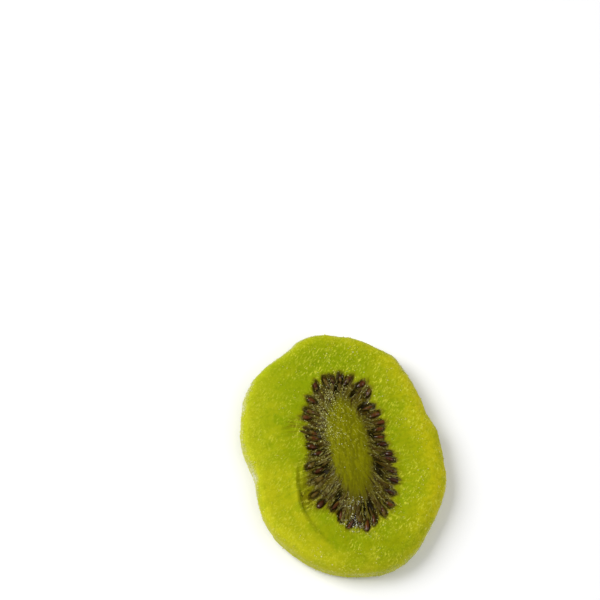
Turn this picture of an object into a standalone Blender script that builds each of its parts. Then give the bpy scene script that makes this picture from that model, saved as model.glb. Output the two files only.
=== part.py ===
"""Dried kiwi: one candied slice, cut along the fruit, lying flat with its seeds up.

The slice is one solid. Lengths are in millimetres and angles in degrees until a
mesh point is placed. A place on the slice is a turn (radians) and a share of the
way out: 0 in the middle, CORE_OUT at the edge of the firm core, BAND_OUT at the
outer edge of the seed band and 1 at the outline. X is across the slice, Y along it.
"""

import math
import random

import bmesh
import bpy
from mathutils import Matrix, Vector

MM = 0.001

# Outline: an oval with lobes (+) and dents (-).
HALF_WIDTH = 19.3
HALF_LENGTH = 25.6
LOBES = (  # angle from +X, height, width of the lobe in degrees
    (12, -0.95, 10),
    (28, -0.45, 9),
    (50, 0.65, 8),
    (66, 0.2, 10),
    (91, 0.5, 8),
    (106, -0.5, 9),
    (134, 1.6, 18),
    (159, 0.75, 12),
    (182, -0.6, 10),
    (214, 1.0, 17),
    (242, 0.2, 12),
    (262, -0.5, 12),
    (301, -0.6, 12),
    (329, 0.35, 8),
    (352, -0.2, 12),
)

# Ovals of the core and of the seed band: middle x and y, half width and length, lean.
CORE_OVAL = (1.0, 0.4, 4.3, 11.6, -3.0)
BAND_OVAL = (0.9, -0.5, 9.6, 17.2, -6.5)
BAND_LOBES = (  # turn, height, width of the lobe in degrees
    (8, -2.1, 20),
    (40, -1.3, 14),
    (115, 0.6, 18),
    (170, -1.1, 12),
    (213, 1.5, 15),
    (248, -0.5, 12),
    (303, 0.5, 12),
)
CORE_OUT = 0.28
BAND_OUT = 0.54

# Upper face: a domed core, a sunken seed band, flesh that rises to an outer ring, low waves.
FLESH_HEIGHT = 5.6
CORE_DOME = 0.35
BAND_DIP = 0.7
FIBRE_RIDGE = 0.1  # share of the dip
RING_RISE = 0.4
RING_SLOPE = 0.6
WAVES = ((2, 0.22, 35), (3, 0.20, 100), (5, 0.10, 20))  # waves round, height, angle

# The outer ring stands highest at the lower left, behind a step that faces the seeds.
# From the bend on, the step swings outwards and softens, in shares for each degree.
PUFF_RISE = 0.4
PUFF_ANGLE = 218
PUFF_WIDTH = 36
STEP_GRIP = 1.6
STEP_OUT = 0.11
STEP_SLOPE = 0.11
STEP_BEND = 206
STEP_SWEEP = 0.0095
STEP_SOFTEN = 0.0027

# Cut edges: the brow rounds the top edge, the heel rounds the bottom edge.
BROW_SHARP = 1.7
BROW_SOFT = 3.4
BROW_SOFT_ANGLE = 10
BROW_HEIGHT = 2.6
HEEL_REACH = 1.9
HEEL_HEIGHT = 1.5
LIFTS = ((48, 0.8, 24), (192, 0.6, 22), (305, 0.7, 26))  # angle, height, width
LIFT_FROM = 0.72

# Underside: flat, with a seed band that holds its seeds clear of what the slice lies on.
BASE_DIP = 0.8
BASE_CLEAR = 0.1

# Seeds of one cut face: drops in an inner and an outer row, each about on its ray.
SEED_COUNT = 38
SEED_LENGTH = 2.8
SEED_WIDTH = 1.25
SEED_DEPTH = 0.9
SEED_TAPER = 0.24
SEED_POINT = 0.25
SEED_SIDES = 6
SEED_RINGS = 4
INNER_CHANCE = 0.25
INNER_ROW = (0.3, 0.5)  # share of the way across the band
OUTER_ROW = (0.62, 0.86)
SEED_WANDER = 0.25  # share of the spacing, either way
SEED_TWIST = 20
SEED_SUNK = 0.25
TOP_DRAW = 350
BASE_DRAW = 19

# Mesh: two sectors for each seed, and the rows from the top pole to the bottom pole.
SECTORS = 2 * SEED_COUNT
TOP_ROWS = 26
BROW_ROWS = 4
WALL_ROWS = 2
HEEL_ROWS = 3
BASE_ROWS = 9
ROWS = TOP_ROWS + BROW_ROWS + WALL_ROWS + HEEL_ROWS + BASE_ROWS


def smooth(share):
    """Ease from 0 to 1."""
    share = min(max(share, 0.0), 1.0)
    return share * share * (3.0 - 2.0 * share)


def mix(low, high, share):
    return low + (high - low) * share


def lobe(angle, centre, width):
    """A bump of height 1 round an angle, in degrees."""
    away = (angle - centre + 180.0) % 360.0 - 180.0
    return math.exp(-((away / width) ** 2))


def pace(turn):
    """Crowd the sectors towards the ends, which spaces them evenly along the seed band."""
    return turn - math.sin(2.0 * turn) / 6.0


def bearing(turn):
    """Angle from +X, in degrees, at which a sector meets the outline."""
    way = pace(turn)
    return math.degrees(math.atan2(HALF_LENGTH * math.sin(way), HALF_WIDTH * math.cos(way)))


def outline(turn):
    angle = math.radians(bearing(turn))
    reach = 1.0 / math.hypot(math.cos(angle) / HALF_WIDTH, math.sin(angle) / HALF_LENGTH)
    for centre, height, width in LOBES:
        reach += height * lobe(math.degrees(angle), centre, width)
    return Vector((reach * math.cos(angle), reach * math.sin(angle)))


def oval(shape, turn):
    x, y, half_width, half_length, lean = shape
    way = pace(turn)
    point = Vector((half_width * math.cos(way), half_length * math.sin(way)))
    point.rotate(Matrix.Rotation(math.radians(lean), 2))
    return point + Vector((x, y))


def band_edge(turn):
    """Outer edge of the seed band: an oval with lobes and a dent."""
    edge = oval(BAND_OVAL, turn)
    ray = edge - Vector(BAND_OVAL[:2])
    angle = math.degrees(turn)
    reach = sum(height * lobe(angle, centre, width) for centre, height, width in BAND_LOBES)
    return edge + ray.normalized() * reach


def plan(turn, out):
    """Place on the slice seen from above."""
    core = oval(CORE_OVAL, turn)
    band = band_edge(turn)
    if out < CORE_OUT:
        return Vector(CORE_OVAL[:2]).lerp(core, out / CORE_OUT)
    if out < BAND_OUT:
        return core.lerp(band, (out - CORE_OUT) / (BAND_OUT - CORE_OUT))
    return band.lerp(outline(turn), (out - BAND_OUT) / (1.0 - BAND_OUT))


def middle():
    """Middle of the box round the outline."""
    points = [outline(math.tau * i / SECTORS) for i in range(SECTORS)]
    xs = [point.x for point in points]
    ys = [point.y for point in points]
    return Vector(((min(xs) + max(xs)) / 2.0, (min(ys) + max(ys)) / 2.0))


def band_dip(turn, out):
    """Share of the full dip of the seed band, with a low ridge of fibre between seeds."""
    share = (out - CORE_OUT) / (BAND_OUT - CORE_OUT)
    if not 0.0 < share < 1.0:
        return 0.0
    ridge = FIBRE_RIDGE * (1.0 - math.cos(SEED_COUNT * turn))
    return math.sin(math.pi * share) * (1.0 - ridge)


def ring_rise(angle, outer):
    """Rise of the outer ring, by the share of the way from the seed band to the outline."""
    puff = lobe(angle, PUFF_ANGLE, PUFF_WIDTH)
    past = max(angle % 360.0 - STEP_BEND, 0.0)
    step_slope = STEP_SLOPE + STEP_SOFTEN * past
    step_crest = STEP_OUT + STEP_SWEEP * past + 0.5 * step_slope
    grip = smooth(STEP_GRIP * puff)
    crest = mix(RING_SLOPE, step_crest, grip)
    slope = mix(RING_SLOPE, step_slope, grip)
    return (RING_RISE + PUFF_RISE * puff) * smooth((outer - crest + slope) / slope)


def top_height(turn, out):
    """Height of the upper face before its edge is rounded."""
    angle = bearing(turn)
    outer = (out - BAND_OUT) / (1.0 - BAND_OUT)
    height = FLESH_HEIGHT - BAND_DIP * band_dip(turn, out)
    if out < CORE_OUT:
        height += CORE_DOME * (1.0 - (out / CORE_OUT) ** 2)
    if outer > 0.0:
        height += ring_rise(angle, outer)
        for count, swell, first in WAVES:
            height += swell * outer * math.cos(count * math.radians(angle - first))
    return height


def base_height(turn, out):
    """Height of the underside before its edge is rounded."""
    lift = sum(height * lobe(bearing(turn), centre, width) for centre, height, width in LIFTS)
    return BASE_DIP * band_dip(turn, out) + lift * smooth((out - LIFT_FROM) / (1.0 - LIFT_FROM))


def brow_reach(turn):
    """How far the rounding of the top edge reaches in: sharp on the left, soft on the right."""
    softness = 0.5 + 0.5 * math.cos(math.radians(bearing(turn) - BROW_SOFT_ANGLE))
    return mix(BROW_SHARP, BROW_SOFT, softness)


def skin(turn, row):
    """Point on the slice's surface, by the row counted from the top pole."""
    flesh = (outline(turn) - band_edge(turn)).length / (1.0 - BAND_OUT)
    brow = 1.0 - brow_reach(turn) / flesh
    heel = 1.0 - HEEL_REACH / flesh
    brow_top = top_height(turn, brow)
    heel_base = base_height(turn, heel)
    brow_foot = top_height(turn, 1.0) - BROW_HEIGHT
    heel_head = base_height(turn, 1.0) + HEEL_HEIGHT
    if row <= TOP_ROWS:
        out = brow * row / TOP_ROWS
        height = top_height(turn, out)
    elif row <= TOP_ROWS + BROW_ROWS:
        bend = 0.5 * math.pi * (row - TOP_ROWS) / BROW_ROWS
        out = mix(brow, 1.0, math.sin(bend))
        height = mix(brow_top, brow_foot, 1.0 - math.cos(bend))
    elif row < TOP_ROWS + BROW_ROWS + WALL_ROWS:
        out = 1.0
        height = mix(brow_foot, heel_head, (row - TOP_ROWS - BROW_ROWS) / WALL_ROWS)
    elif row < ROWS - BASE_ROWS:
        bend = 0.5 * math.pi * (row - TOP_ROWS - BROW_ROWS - WALL_ROWS) / HEEL_ROWS
        out = mix(heel, 1.0, math.cos(bend))
        height = mix(heel_head, heel_base, math.sin(bend))
    else:
        out = heel * (ROWS - row) / BASE_ROWS
        height = base_height(turn, out)
    return plan(turn, out).to_3d() + Vector((0.0, 0.0, height))


def plain_material(name, colour, roughness):
    material = bpy.data.materials.new(name)
    material.use_nodes = True
    shader = material.node_tree.nodes["Principled BSDF"]
    shader.inputs["Base Color"].default_value = (*colour, 1.0)
    shader.inputs["Roughness"].default_value = roughness
    shader.inputs["Metallic"].default_value = 0.0
    return material


def add_object(name, shape, materials, collection):
    """Turn a bmesh in millimetres into an object in metres."""
    bmesh.ops.transform(shape, matrix=Matrix.Scale(MM, 4), verts=shape.verts)
    mesh = bpy.data.meshes.new(name)
    shape.to_mesh(mesh)
    shape.free()
    mesh.shade_smooth()
    for material in materials:
        mesh.materials.append(material)
    thing = bpy.data.objects.new(name, mesh)
    collection.objects.link(thing)
    return thing


def make_flesh(materials):
    """A ball of sectors and rows whose points are moved onto the slice's skin."""
    shape = bmesh.new()
    bmesh.ops.create_uvsphere(shape, u_segments=SECTORS, v_segments=ROWS, radius=1.0)
    shift = middle().to_3d()
    for vert in shape.verts:
        turn = math.atan2(vert.co.y, vert.co.x)
        row = round(ROWS * math.acos(min(max(vert.co.z, -1.0), 1.0)) / math.pi)
        vert.co = skin(turn, row) - shift
    return add_object("kiwi_slice", shape, materials, bpy.context.scene.collection)


def seed_shape():
    """A drop as long as a seed, wider towards its outer end and pointed at both."""
    shape = bmesh.new()
    bmesh.ops.create_uvsphere(shape, u_segments=SEED_SIDES, v_segments=SEED_RINGS, radius=0.5)
    bmesh.ops.rotate(shape, verts=shape.verts, matrix=Matrix.Rotation(math.pi / 2.0, 3, "Y"))
    for vert in shape.verts:
        along = 2.0 * vert.co.x
        taper = (1.0 + SEED_TAPER * along) * max(1.0 - along**2, 0.0) ** SEED_POINT
        vert.co.x *= SEED_LENGTH
        vert.co.y *= SEED_WIDTH * taper
        vert.co.z *= SEED_DEPTH * taper
    return shape


def seed_places(draw):
    """Turn, share across the band, sideways twist and sunk depth of each seed."""
    chance = random.Random(draw)
    places = []
    for i in range(SEED_COUNT):
        turn = math.tau * (i + chance.uniform(-SEED_WANDER, SEED_WANDER)) / SEED_COUNT
        share = chance.uniform(*(INNER_ROW if chance.random() < INNER_CHANCE else OUTER_ROW))
        twist = math.radians(chance.uniform(-SEED_TWIST, SEED_TWIST))
        sunk = chance.uniform(0.0, SEED_SUNK)
        places.append((turn, share, twist, sunk))
    return places


def make_seeds(draw, height_at, side, materials, collection):
    """Seeds of one cut face, each lying along its ray. side is 1 on top and -1 below."""
    shift = middle()
    lowest = BASE_CLEAR + 0.5 * SEED_DEPTH * (1.0 + SEED_TAPER)
    for number, (turn, share, twist, sunk) in enumerate(seed_places(draw), 1):
        out = mix(CORE_OUT, BAND_OUT, share)
        place = plan(turn, out) - shift
        ray = plan(turn, BAND_OUT) - plan(turn, CORE_OUT)
        heading = math.atan2(ray.y, ray.x) + twist
        height = max(height_at(turn, out) - side * sunk, lowest)
        shape = seed_shape()
        move = Matrix.Translation((place.x, place.y, height))
        bmesh.ops.transform(shape, matrix=move @ Matrix.Rotation(heading, 4, "Z"), verts=shape.verts)
        add_object(f"seed_{'base' if side < 0 else 'top'}_{number}", shape, materials, collection)


def fuse(body, collection):
    """Join everything in the collection to the body, then take the loose copies away."""
    union = body.modifiers.new("Seeds", "BOOLEAN")
    union.operation = "UNION"
    union.operand_type = "COLLECTION"
    union.collection = collection
    union.solver = "EXACT"
    union.material_mode = "TRANSFER"
    bpy.context.view_layer.objects.active = body
    bpy.ops.object.modifier_apply(modifier=union.name)
    for loose in list(collection.objects):
        bpy.data.objects.remove(loose)
    bpy.data.collections.remove(collection)


def main():
    for thing in list(bpy.data.objects):
        bpy.data.objects.remove(thing)
    flesh = plain_material("candied flesh", (0.41, 0.46, 0.03), 0.4)
    seed = plain_material("seed", (0.035, 0.012, 0.010), 0.25)
    slice_body = make_flesh([flesh, seed])
    seeds = bpy.data.collections.new("seeds")
    bpy.context.scene.collection.children.link(seeds)
    make_seeds(TOP_DRAW, top_height, 1, [seed], seeds)
    make_seeds(BASE_DRAW, base_height, -1, [seed], seeds)
    fuse(slice_body, seeds)


main()
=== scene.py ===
"""Looks of a dried kiwi slice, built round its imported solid.

The slice lies flat, seeds up. Its fine skin repeats the solid's own form from the
same named sizes, in millimetres, and adds the relief of candied fruit. On it lie the
seeds of both cut faces, the pods and pale fibres between them, and the sugar. A place
on the slice is a turn (radians) and a share of the way out: 0 in the middle, CORE_OUT
at the edge of the core, BAND_OUT at the edge of the seed band and 1 at the outline.
"""

import math
import random

import bmesh
import bpy
import numpy as np
from bpy.props import FloatProperty, FloatVectorProperty, IntProperty, PointerProperty
from mathutils import Euler, Matrix, Vector, noise


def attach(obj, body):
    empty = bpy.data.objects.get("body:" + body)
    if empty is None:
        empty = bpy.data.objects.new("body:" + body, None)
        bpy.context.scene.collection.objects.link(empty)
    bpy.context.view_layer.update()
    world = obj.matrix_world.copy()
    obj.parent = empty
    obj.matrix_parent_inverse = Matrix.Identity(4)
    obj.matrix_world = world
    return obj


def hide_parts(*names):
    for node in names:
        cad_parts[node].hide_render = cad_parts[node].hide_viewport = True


bl_info = {
    "name": "Dried Kiwi Slice",
    "version": (1, 0, 0),
    "blender": (4, 5, 0),
    "location": "View3D > Sidebar > Kiwi",
    "description": "Candied kiwi slice with seeds, fibre and sugar on its packed solid",
    "category": "Object",
}

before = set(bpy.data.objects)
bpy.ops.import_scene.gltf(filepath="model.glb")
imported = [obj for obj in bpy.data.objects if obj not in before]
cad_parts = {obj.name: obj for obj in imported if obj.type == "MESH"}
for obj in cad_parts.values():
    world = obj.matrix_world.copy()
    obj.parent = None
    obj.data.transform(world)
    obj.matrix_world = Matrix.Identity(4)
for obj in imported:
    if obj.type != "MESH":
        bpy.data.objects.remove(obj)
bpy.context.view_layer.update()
SLICE = "kiwi_slice"
BODY = "root"
MM = 0.001

# ---- Form of the slice, in millimetres and degrees, as in the solid ----

HALF_WIDTH = 19.3
HALF_LENGTH = 25.6
LOBES = (  # angle from +X, height, width of the lobe in degrees
    (12, -0.95, 10), (28, -0.45, 9), (50, 0.65, 8), (66, 0.2, 10), (91, 0.5, 8),
    (106, -0.5, 9), (134, 1.6, 18), (159, 0.75, 12), (182, -0.6, 10), (214, 1.0, 17),
    (242, 0.2, 12), (262, -0.5, 12), (301, -0.6, 12), (329, 0.35, 8), (352, -0.2, 12),
)
CORE_OVAL = (1.0, 0.4, 4.3, 11.6, -3.0)  # middle x and y, half width and length, lean
BAND_OVAL = (0.9, -0.5, 9.6, 17.2, -6.5)
BAND_LOBES = (  # turn, height, width of the lobe in degrees
    (8, -2.1, 20), (40, -1.3, 14), (115, 0.6, 18), (170, -1.1, 12), (213, 1.5, 15),
    (248, -0.5, 12), (303, 0.5, 12),
)
CORE_OUT = 0.28
BAND_OUT = 0.54

FLESH_HEIGHT = 5.6
CORE_DOME = 0.35
BAND_DIP = 0.7
FIBRE_RIDGE = 0.1
RING_RISE = 0.4
RING_SLOPE = 0.6
WAVES = ((2, 0.22, 35), (3, 0.20, 100), (5, 0.10, 20))
PUFF_RISE = 0.4
PUFF_ANGLE = 218
PUFF_WIDTH = 36
STEP_GRIP = 1.6
STEP_OUT = 0.11
STEP_SLOPE = 0.11
STEP_BEND = 206
STEP_SWEEP = 0.0095
STEP_SOFTEN = 0.0027

BROW_SHARP = 1.7
BROW_SOFT = 3.4
BROW_SOFT_ANGLE = 10
BROW_HEIGHT = 2.6
HEEL_REACH = 1.9
HEEL_HEIGHT = 1.5
LIFTS = ((48, 0.8, 24), (192, 0.6, 22), (305, 0.7, 26))
LIFT_FROM = 0.72
BASE_DIP = 0.8
BASE_CLEAR = 0.1

SEED_COUNT = 38
SEED_LENGTH = 2.8
SEED_WIDTH = 1.25
SEED_DEPTH = 0.9
SEED_TAPER = 0.24
SEED_POINT = 0.25
INNER_CHANCE = 0.25
INNER_ROW = (0.3, 0.5)
OUTER_ROW = (0.62, 0.86)
SEED_WANDER = 0.25
SEED_TWIST = 20
SEED_SUNK = 0.25
TOP_DRAW = 350
BASE_DRAW = 19

# Stretches of the rim that are white with sugar.
FROST_LOBES = (  # angle from +X, share, width of the lobe in degrees
    (45, 0.8, 12), (100, 0.7, 16), (135, 2.6, 8), (160, 0.5, 8), (184, 1.6, 8),
)

# Small crusts of sugar on the upper face.
CRUSTS = (  # x, y, reach
    (-10.2, -19.4, 0.9), (-12.6, -16.2, 0.5), (13.4, 2.4, 0.6),
)

# Sides of the slice, as angle from +X and width in degrees: where the seed band is full
# of white crystals, which also stand in for a painted wet sheen, where the light catches
# it, where pods lie further out and where they are greyed, and where fibres crowd.
LOW_END_SUGAR_SHEEN = (262.0, 12.0)
GLINT_SIDE = (135.0, 45.0)
STRAY_SIDE = (152.0, 8.0)
GREYED_SIDE = (228.0, 30.0)
FIBRE_SIDES = ((235.0, 28.0), (140.0, 24.0))

# Fine relief: noise to the millimetre, or round the rays and along them.
PEBBLE_GRAIN = 0.95
LUMP_GRAIN = 0.3
WRINKLE_GRAIN = (13.0, 4.0)
STRAND_GRAIN = (30.0, 3.0)
PIT_GRAIN = (7.0, 2.0)
CORE_GRAIN = (2.6, 0.5, 1.0)
CORE_STREAK_HEIGHT = 0.02
SEED_BED_HEIGHT = 0.18
SPINDLE_CLEAR = 0.02  # lowest level of pods and fibres

# A green bruise and two olive stains on the upper face.
BRUISE = (-10.8, 9.6, 5.2)  # x, y, reach
STEP_STAIN = (-9.5, -8.0, 5.0)
FRINGE_STAIN = (-8.5, 6.9, 2.8)

# Fine skin: sectors round, and rows from the top pole to the bottom pole.
SECTORS = 448
TOP_ROWS = 112
BROW_ROWS = 22
WALL_ROWS = 10
HEEL_ROWS = 14
BASE_ROWS = 54
ROWS = TOP_ROWS + BROW_ROWS + WALL_ROWS + HEEL_ROWS + BASE_ROWS
MIDDLE_SECTORS = 76  # the solid's own sectors, from which its middle is measured

# Stage, in metres and degrees. The slice stands at this pixel of a 600 by 600 picture.
PICTURE = 600
SLICE_PIXEL = (343, 456)
VIEW_AZIMUTH = -15
VIEW_ELEVATION = 70
VIEW_DISTANCE = 1 / 3
VIEW_POINT = (-0.00017, -0.0008, 0.0032)
SENSOR = 36


def ease(share):
    """Ease from 0 to 1."""
    share = np.clip(share, 0.0, 1.0)
    return share * share * (3.0 - 2.0 * share)


def mix(low, high, share):
    return low + (high - low) * share


def lobe(angle, centre, width):
    """A bump of height 1 round an angle, in degrees."""
    away = (angle - centre + 180.0) % 360.0 - 180.0
    return np.exp(-((away / width) ** 2))


def lobes(angle, bumps, start=0.0):
    """Sum of bumps, each given by its angle, height and width, added to a start."""
    return sum((height * lobe(angle, centre, width) for centre, height, width in bumps), start)


def part(value, start, end):
    """Share of the way from start to end."""
    return (value - start) / (end - start)


def pace(turn):
    """Crowd the sectors towards the ends, which spaces them evenly along the seed band."""
    return turn - np.sin(2.0 * turn) / 6.0


def bearing(turn):
    """Angle from +X, in degrees, at which a sector meets the outline."""
    way = pace(turn)
    return np.degrees(np.arctan2(HALF_LENGTH * np.sin(way), HALF_WIDTH * np.cos(way)))


def outline(turn):
    angle = bearing(turn)
    across = np.cos(np.radians(angle))
    along = np.sin(np.radians(angle))
    reach = lobes(angle, LOBES, 1.0 / np.hypot(across / HALF_WIDTH, along / HALF_LENGTH))
    return np.stack((reach * across, reach * along), -1)


def oval(shape, turn):
    x, y, half_width, half_length, lean = shape
    across = half_width * np.cos(pace(turn))
    along = half_length * np.sin(pace(turn))
    cos = math.cos(math.radians(lean))
    sin = math.sin(math.radians(lean))
    return np.stack((x + across * cos - along * sin, y + across * sin + along * cos), -1)


def band_edge(turn):
    """Outer edge of the seed band: an oval with lobes and a dent."""
    edge = oval(BAND_OVAL, turn)
    ray = edge - BAND_OVAL[:2]
    reach = lobes(np.degrees(turn), BAND_LOBES)
    return edge + ray * (reach / np.linalg.norm(ray, axis=-1))[..., None]


def middle():
    """Middle of the box round the solid's outline."""
    points = outline(math.tau * np.arange(MIDDLE_SECTORS) / MIDDLE_SECTORS)
    return (points.min(0) + points.max(0)) / 2.0


MIDDLE = middle()


def plan(turn, out):
    """Place on the slice seen from above."""
    turn, out = np.broadcast_arrays(turn, out)
    core = oval(CORE_OVAL, turn)
    band = band_edge(turn)
    inside = mix(np.array(CORE_OVAL[:2]), core, (out / CORE_OUT)[..., None])
    within = mix(core, band, part(out, CORE_OUT, BAND_OUT)[..., None])
    beyond = mix(band, outline(turn), part(out, BAND_OUT, 1.0)[..., None])
    place = np.where((out < CORE_OUT)[..., None], inside, within)
    return np.where((out >= BAND_OUT)[..., None], beyond, place) - MIDDLE


def band_ray(turn):
    """Way across the seed band."""
    return plan(turn, BAND_OUT) - plan(turn, CORE_OUT)


def band_dip(turn, out):
    """Share of the full dip of the seed band, with a low ridge of fibre between seeds."""
    share = np.clip(part(out, CORE_OUT, BAND_OUT), 0.0, 1.0)
    ridge = FIBRE_RIDGE * (1.0 - np.cos(SEED_COUNT * turn))
    return np.sin(math.pi * share) * (1.0 - ridge)


def ring_step(angle):
    """Puff of the outer ring at an angle, and where its rise ends and how long it is."""
    puff = lobe(angle, PUFF_ANGLE, PUFF_WIDTH)
    past = np.maximum(angle % 360.0 - STEP_BEND, 0.0)
    slope = STEP_SLOPE + STEP_SOFTEN * past
    crest = STEP_OUT + STEP_SWEEP * past + 0.5 * slope
    grip = ease(STEP_GRIP * puff)
    return puff, mix(RING_SLOPE, crest, grip), mix(RING_SLOPE, slope, grip)


def ring_share(turn, out):
    """Puff of the outer ring, and the share of the ring's rise at a share of the way out."""
    puff, crest, slope = ring_step(bearing(turn))
    return puff, ease((part(out, BAND_OUT, 1.0) - crest + slope) / slope)


def top_height(turn, out):
    """Height of the upper face before its edge is rounded."""
    angle = bearing(turn)
    outer = part(out, BAND_OUT, 1.0)
    height = FLESH_HEIGHT - BAND_DIP * band_dip(turn, out)
    height = height + CORE_DOME * np.clip(1.0 - (out / CORE_OUT) ** 2, 0.0, 1.0)
    puff, share = ring_share(turn, out)
    rise = (RING_RISE + PUFF_RISE * puff) * share
    for count, swell, first in WAVES:
        rise = rise + swell * outer * np.cos(count * np.radians(angle - first))
    return height + np.where(outer > 0.0, rise, 0.0)


def base_height(turn, out):
    """Height of the underside before its edge is rounded."""
    lift = lobes(bearing(turn), LIFTS) * ease(part(out, LIFT_FROM, 1.0))
    return BASE_DIP * band_dip(turn, out) + lift


def face_height(side, turn, out):
    """Height of a cut face before its edge is rounded. side is 1 on top, -1 below."""
    return top_height(turn, out) if side > 0 else base_height(turn, out)


def brow_reach(turn):
    """How far the rounding of the top edge reaches in: sharp on the left, soft on the right."""
    softness = 0.5 + 0.5 * np.cos(np.radians(bearing(turn) - BROW_SOFT_ANGLE))
    return mix(BROW_SHARP, BROW_SOFT, softness)


def skin(turn, row):
    """Points on the slice's surface, and their share out, by the row from the top pole."""
    flesh = np.linalg.norm(outline(turn) - band_edge(turn), axis=-1) / (1.0 - BAND_OUT)
    brow = 1.0 - brow_reach(turn) / flesh
    heel = 1.0 - HEEL_REACH / flesh
    brow_foot = top_height(turn, 1.0) - BROW_HEIGHT
    heel_head = base_height(turn, 1.0) + HEEL_HEIGHT
    brow_row = row - TOP_ROWS
    wall_row = brow_row - BROW_ROWS
    heel_row = wall_row - WALL_ROWS
    brow_bend = 0.5 * math.pi * np.clip(brow_row / BROW_ROWS, 0.0, 1.0)
    heel_bend = 0.5 * math.pi * np.clip(heel_row / HEEL_ROWS, 0.0, 1.0)
    top_out = brow * row / TOP_ROWS
    base_out = heel * (ROWS - row) / BASE_ROWS
    stretches = (row <= TOP_ROWS, wall_row <= 0, heel_row < 0, row < ROWS - BASE_ROWS)
    out = np.select(
        stretches,
        (top_out, mix(brow, 1.0, np.sin(brow_bend)), 1.0, mix(heel, 1.0, np.cos(heel_bend))),
        base_out,
    )
    height = np.select(
        stretches,
        (
            top_height(turn, top_out),
            mix(top_height(turn, brow), brow_foot, 1.0 - np.cos(brow_bend)),
            mix(brow_foot, heel_head, wall_row / WALL_ROWS),
            mix(heel_head, base_height(turn, heel), np.sin(heel_bend)),
        ),
        base_height(turn, base_out),
    )
    return np.column_stack((plan(turn, out), height)), out


# ---- Fine relief, in millimetres ----

def rough(places, scale):
    """Even noise between about -1 and 1 at each place."""
    values = (noise.fractal(Vector(place * scale), 1.0, 2.0, 2) for place in places)
    return np.fromiter(values, float, len(places))


def ray_rough(turn, out, around, along):
    """Noise that is stretched along the fruit's rays and closes round them."""
    return rough(np.column_stack((around * np.cos(turn), around * np.sin(turn), along * out)), 1.0)


def angle_of(places):
    """Angle of each place from +X, in degrees."""
    return np.degrees(np.arctan2(places[:, 1], places[:, 0]))


def seed_poses(draw, side):
    """Middle and heading of each seed of a cut face. side is 1 on top, -1 below."""
    chance = random.Random(draw)
    lowest = BASE_CLEAR + 0.5 * SEED_DEPTH * (1.0 + SEED_TAPER)
    poses = []
    for number in range(SEED_COUNT):
        turn = math.tau * (number + chance.uniform(-SEED_WANDER, SEED_WANDER)) / SEED_COUNT
        share = chance.uniform(*(INNER_ROW if chance.random() < INNER_CHANCE else OUTER_ROW))
        twist = math.radians(chance.uniform(-SEED_TWIST, SEED_TWIST))
        sunk = chance.uniform(0.0, SEED_SUNK)
        out = mix(CORE_OUT, BAND_OUT, share)
        ray = band_ray(turn)
        height = max(float(face_height(side, turn, out)) - side * sunk, lowest)
        poses.append(((*plan(turn, out), height), math.atan2(ray[1], ray[0]) + twist))
    return poses


def near_seeds(points, poses, fade):
    """1 at a seed, fading to 0 at a distance outside it."""
    near = np.zeros(len(points))
    for (x, y, _), heading in poses:
        away = points[:, :2] - (x, y)
        along = away @ (math.cos(heading), math.sin(heading)) / (0.5 * SEED_LENGTH)
        across = away @ (-math.sin(heading), math.cos(heading)) / (0.5 * SEED_WIDTH)
        outside = np.maximum(np.hypot(along, across) - 1.0, 0.0)
        near = np.maximum(near, np.exp(-((outside / fade) ** 2)))
    return near


def tissues(out):
    """Shares of core, seed band and flesh at a share of the way out."""
    core = 1.0 - ease((out - CORE_OUT + 0.03) / 0.05)
    flesh = ease((out - BAND_OUT + 0.03) / 0.06)
    return core, (1.0 - core) * (1.0 - flesh), flesh


def hollow_share(turn, out):
    """1 in the small pits between the seeds, next to the core, and 0 elsewhere."""
    place = np.exp(-(((part(out, CORE_OUT, BAND_OUT) - 0.28) / 0.24) ** 2))
    return place * ease((ray_rough(turn, out, *PIT_GRAIN) - 0.04) / 0.2)


def relief(points, turn, out, near, settings):
    """Height of candied fruit's fine relief along the normal, in millimetres."""
    core, band, flesh = tissues(out)
    pebbles = settings.pebble_height / MM * rough(points, PEBBLE_GRAIN)
    wrinkles = settings.wrinkle_height / MM * ray_rough(turn, out, *WRINKLE_GRAIN)
    strands = settings.strand_height / MM * ray_rough(turn, out, *STRAND_GRAIN)
    lumps = settings.lump_height / MM * rough(points, LUMP_GRAIN)
    lengthwise = CORE_STREAK_HEIGHT * rough(points * CORE_GRAIN, 1.0)
    height = flesh * (pebbles + wrinkles + lumps) + band * strands + core * lengthwise
    height = height - band * settings.hollow_depth / MM * hollow_share(turn, out)
    return height + SEED_BED_HEIGHT * (flesh * near - band * near**6)


def step_shadow_share(turn, out):
    """1 at the foot of the swollen ring's step, fading out towards the seeds: where a shadow is painted.
    """
    angle = bearing(turn)
    puff, crest, slope = ring_step(angle)
    fading = 1.0 - 0.95 * ease((angle % 360.0 - STEP_BEND + 10.0) / 18.0)
    away = (crest - slope - part(out, BAND_OUT, 1.0)) / 0.16
    beside = np.where(away > -0.6, np.exp(-(np.maximum(away, 0.0) ** 2)), 0.0)
    return fading * ease(2.0 * puff - 0.5) * beside


def frost_share(places, out):
    """Share of dry white sugar on the rim, in a few stretches and most of all high up."""
    rim = ease((out - 0.95) / 0.05) * mix(0.15, 1.0, ease((places[:, 2] - 2.0) / 3.0))
    most = lobes(angle_of(places), FROST_LOBES)
    patches = 0.3 + 0.7 * ease((rough(places, 0.45) + 0.2) / 0.5)
    return rim * np.minimum((0.03 + most) * patches, 1.0)


# ---- Meshes ----

def fine_ball():
    """A closed ball of sectors and rows, rolled up from a grid."""
    shape = bmesh.new()
    bmesh.ops.create_grid(shape, x_segments=SECTORS, y_segments=ROWS, size=1.0)
    for vert in shape.verts:
        turn = math.pi * vert.co.x
        tilt = 0.5 * math.pi * vert.co.y
        vert.co = (math.cos(turn) * math.cos(tilt), math.sin(turn) * math.cos(tilt), math.sin(tilt))
    bmesh.ops.remove_doubles(shape, verts=shape.verts, dist=1e-6)
    return to_mesh("flesh", shape)


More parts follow.
